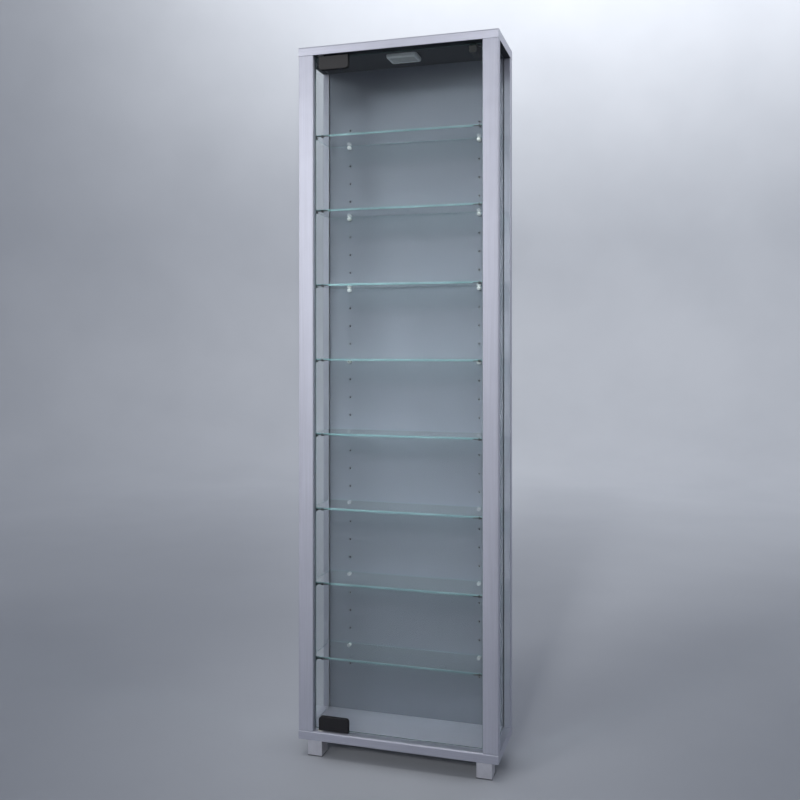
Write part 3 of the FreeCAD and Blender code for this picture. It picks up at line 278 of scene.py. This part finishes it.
def metal(name, colour, rough_low, rough_high, stretch=(900.0, 900.0, 30.0), depth=0.00002):
    """Bare or plated metal: brushed lines, uneven gloss and a slight stain."""
    t = Tree(name)
    lines = t.noise(t.coordinates(stretch), 1.0, 3.0, 0.6)
    stain = t.noise(t.coordinates(), 55.0, 4.0, 0.6)
    tone = t.blend(t.spread(stain, 0.4, 0.8, 0.0, 0.6), colour, scaled(colour, 0.82))
    line_rough = t.spread(lines, 0.3, 0.7, rough_low, rough_high)
    rough = t.math("ADD", line_rough, t.spread(stain, 0.4, 0.8, 0.0, 0.06))
    normal = t.bump(lines, depth, 0.4)
    return t.finish(t.surface(tone, rough, normal, Metallic=1.0))


def beech(name):
    """Raw beech dowel: long grain with darker flecks."""
    t = Tree(name)
    fibres = t.noise(t.coordinates((700.0, 700.0, 60.0)), 1.0, 4.0, 0.6)
    tone = t.blend(t.spread(fibres, 0.35, 0.7, 0.0, 1.0), (0.62, 0.44, 0.27), (0.45, 0.29, 0.16))
    normal = t.bump(fibres, 0.00006, 0.5)
    return t.finish(t.surface(tone, t.spread(fibres, 0.3, 0.7, 0.5, 0.7), normal))


def pale_floor():
    """Plain pale studio floor with the faintest mottling."""
    t = Tree("studio_floor")
    clouds = t.noise(t.coordinates(), 1.4, 3.0, 0.5)
    tone = t.blend(t.spread(clouds, 0.3, 0.7, 0.0, 1.0), (0.56, 0.585, 0.63), (0.60, 0.625, 0.67))
    return t.finish(t.surface(tone, 0.75))


X_AXIS, Y_AXIS, Z_AXIS = range(3)
BOARD_SILVER = scaled(SILVER, BOARD_SHADE)
HOLE_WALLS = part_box("rear_panel")[0].y + WALL_START
MATERIALS = {
    "board_foil": silver_foil("board_foil", BOARD_SILVER, X_AXIS, 0.40, 0.32, 0.05, shaded_underside=True),
    "post_foil": silver_foil("post_foil", SILVER, Z_AXIS, 0.32, 0.44, 0.05),
    "panel_foil": silver_foil("panel_foil", PANEL_GREY_AND_SHADE, Z_AXIS, 0.12, 0.55, 0.02, HOLE_WALLS),
    "side_pane": clear_glass("side_pane", (0.965, 0.985, 0.985), (0.90, 0.93, 0.93)),
    "shelf_pane": clear_glass("shelf_pane", (0.985, 1.0, 0.998), (0.91, 0.95, 0.945)),
    "door_pane": clear_glass("door_pane", (0.965, 0.985, 0.985), (0.90, 0.93, 0.93)),
    "shelf_edge": glass_edge("shelf_edge", (0.21, 0.38, 0.40), (0.33, 0.52, 0.55)),
    "door_edge": glass_edge("door_edge", (0.05, 0.13, 0.12), (0.12, 0.24, 0.22)),
    "nickel": metal("nickel", (0.90, 0.89, 0.88), 0.22, 0.32),
    "zinc": metal("zinc", (0.60, 0.61, 0.61), 0.28, 0.42),
    "aluminium": metal("aluminium", (0.88, 0.87, 0.91), 0.34, 0.46),
    "magnet": metal("magnet", (0.45, 0.45, 0.46), 0.22, 0.32),
    "hinge_black": moulded("hinge_black", (0.008, 0.0072, 0.0095), 0.5, 0.62),
    "strike_black": moulded("strike_black", (0.004, 0.004, 0.0045), 0.22, 0.32),
    "support_black": moulded("support_black", (0.007, 0.007, 0.008), 0.4, 0.55),
    "rubber": moulded("rubber", (0.02, 0.02, 0.02), 0.6, 0.8),
    "cap_grey": moulded("cap_grey", (0.46, 0.465, 0.51), 0.4, 0.55),
    "glide_grey": moulded("glide_grey", (0.10, 0.10, 0.105), 0.5, 0.65),
    "bush_white": moulded("bush_white", (0.72, 0.72, 0.68), 0.4, 0.55),
    "sleeve_clear": moulded(
        "sleeve_clear", (0.90, 0.92, 0.93), 0.15, 0.25, Transmission_Weight=0.25, IOR=1.45
    ),
    "led_tray": moulded("led_tray", (0.72, 0.76, 0.77), 0.3, 0.42),
    "led_lens": moulded("led_lens", (0.86, 0.90, 0.90), 0.15, 0.25, Transmission_Weight=0.3, IOR=1.49),
    "led_board": moulded("led_board", (0.62, 0.64, 0.63), 0.35, 0.5),
    "led_chip": moulded("led_chip", (0.78, 0.70, 0.32), 0.3, 0.4),
    "beech": beech("beech"),
}

NODE_MATERIALS = {
    "top_board": "board_foil",
    "bottom_board": "board_foil",
    "front_left_post": "post_foil",
    "front_right_post": "post_foil",
    "rear_left_post": "post_foil",
    "rear_right_post": "post_foil",
    "rear_panel": "panel_foil",
    "rear_shelf_pins": "nickel",
    "rear_pin_sleeves": "sleeve_clear",
    "front_shelf_supports": "support_black",
    "front_support_pads": "rubber",
    "frame_screws": "zinc",
    "frame_dowels": "beech",
    "screw_caps": "cap_grey",
    "panel_screws": "zinc",
    "anti_tip_plates": "zinc",
    "anti_tip_screws": "zinc",
    "hinge_bush_bottom": "bush_white",
    "hinge_bush_top": "bush_white",
    "thrust_washer": "bush_white",
    "catch_housing": "support_black",
    "catch_screws": "zinc",
    "led_housing": "led_tray",
    "led_diffuser": "led_lens",
    "led_board": "led_board",
    "led_chips": "led_chip",
    "led_screws": "zinc",
    "cable_grommet": "rubber",
    "foot_front_left": "aluminium",
    "foot_front_right": "aluminium",
    "foot_rear_left": "aluminium",
    "foot_rear_right": "aluminium",
    "foot_glides": "glide_grey",
    "foot_screws": "zinc",
    "hinge_clamp_bottom": "hinge_black",
    "hinge_clamp_top": "hinge_black",
    "hinge_grub_screws": "zinc",
    "hinge_liner_bottom": "rubber",
    "hinge_liner_top": "rubber",
    "hinge_pivot_bottom": "zinc",
    "hinge_pivot_top": "zinc",
    "strike_plate": "strike_black",
    "catch_plunger": "support_black",
    "catch_magnet": "magnet",
}

for node_name, material_name in NODE_MATERIALS.items():
    node = NODES[node_name]
    if not node.material_slots:
        node.data.materials.append(MATERIALS[material_name])
    for material_slot in node.material_slots:
        material_slot.material = MATERIALS[material_name]

# ---- panes -----------------------------------------------------------------------------------

FLAT_ENOUGH = 0.98                  # share of a normal along one axis on a pane's large faces


def make_pane(node_name, body, across, face, edge):
    """Glass pane in the place of its CAD node: clear faces across one axis and green edges."""
    source = NODES[node_name]
    mesh = source.data.copy()
    mesh.materials.clear()
    mesh.materials.append(MATERIALS[face])
    mesh.materials.append(MATERIALS[edge])
    for polygon in mesh.polygons:
        polygon.material_index = 0 if abs(polygon.normal[across]) > FLAT_ENOUGH else 1
    pane = bpy.data.objects.new(node_name + "_pane", mesh)
    bpy.context.scene.collection.objects.link(pane)
    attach(pane, body)
    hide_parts(node_name)
    return pane


SHELVES = sorted(name for name in NODES if name.startswith("shelf_"))
for shelf_name in SHELVES:
    make_pane(shelf_name, "cabinet", Z_AXIS, "shelf_pane", "shelf_edge")
for side_name in ("left_side_glass", "right_side_glass"):
    make_pane(side_name, "cabinet", X_AXIS, "side_pane", "door_edge")
make_pane("door_glass", "door", Y_AXIS, "door_pane", "door_edge")

# ---- studio ----------------------------------------------------------------------------------

FLOOR_CENTRE = 0.4                  # radius of the floor's innermost ring
FLOOR_FLAT = 4.5
FLOOR_COVE = 2.0
FLOOR_RIM = 6.0
FLOOR_STEPS = 12
FLOOR_SIDES = 72


def make_floor():
    """Round pale floor whose rim curves up all round, so that no horizon shows."""
    profile = [(FLOOR_CENTRE, 0.0), (FLOOR_FLAT, 0.0)]
    for step in range(1, FLOOR_STEPS + 1):
        turn = math.pi / 2 * step / FLOOR_STEPS
        profile.append((FLOOR_FLAT + FLOOR_COVE * math.sin(turn), FLOOR_COVE * (1 - math.cos(turn))))
    profile.append((FLOOR_FLAT + FLOOR_COVE, FLOOR_RIM))
    mesh = bpy.data.meshes.new("studio_floor")
    bm = bmesh.new()
    centre = bm.verts.new((0.0, 0.0, 0.0))
    rings = []
    for radius, height in profile:
        ring = []
        for side in range(FLOOR_SIDES):
            turn = 2 * math.pi * side / FLOOR_SIDES
            ring.append(bm.verts.new((radius * math.cos(turn), radius * math.sin(turn), height)))
        rings.append(ring)
    for side in range(FLOOR_SIDES):
        after = (side + 1) % FLOOR_SIDES
        bm.faces.new((centre, rings[0][side], rings[0][after]))
        for inner, outer in zip(rings, rings[1:]):
            bm.faces.new((inner[side], outer[side], outer[after], inner[after]))
    for face in bm.faces:
        face.smooth = True
    bm.to_mesh(mesh)
    bm.free()
    mesh.materials.append(pale_floor())
    floor = bpy.data.objects.new("studio_floor", mesh)
    bpy.context.scene.collection.objects.link(floor)


def make_area(name, place, target, size, power, spread):
    """Soft rectangular lamp pointed at a target, its light held to a spread in degrees."""
    data = bpy.data.lights.new(name, "AREA")
    data.shape = "RECTANGLE"
    data.size, data.size_y = size
    data.energy = power
    data.spread = math.radians(spread)
    lamp = bpy.data.objects.new(name, data)
    lamp.location = place
    lamp.rotation_euler = (Vector(target) - Vector(place)).to_track_quat("-Z", "Y").to_euler()
    bpy.context.scene.collection.objects.link(lamp)


def make_world():
    """Even, slightly cool surroundings."""
    world = bpy.data.worlds.new("studio")
    world.use_nodes = True
    background = world.node_tree.nodes["Background"]
    background.inputs["Color"].default_value = (0.80, 0.83, 0.92, 1.0)
    background.inputs["Strength"].default_value = 0.36
    bpy.context.scene.world = world


make_floor()
make_world()
make_area("key", (0.0, -5.0, 3.4), (-0.15, 0.0, 0.95), (0.8, 1.2), 2.35, 19.5)
make_area("left_fill", (-3.4, -4.0, 2.9), (-0.15, 0.0, 1.4), (1.6, 1.2), 1.8, 23.0)
make_area("left_low", (-2.85, -5.0, 3.2), (-0.1, 0.0, 0.7), (0.8, 1.2), 0.65, 17.0)
make_area("right_fill", (4.6, -1.0, 3.0), (0.0, 0.0, 1.55), (1.2, 1.2), 1.9, 24.0)
make_area("top_soft", (-0.3, -1.0, 4.2), (0.0, -0.1, 0.07), (1.0, 0.6), 0.35, 22.0)
make_area("backdrop", (0.0, 3.6, 5.6), (0.0, 6.5, 4.0), (5.0, 1.0), 200.0, 180.0)
bpy.context.scene.view_settings.view_transform = "Standard"
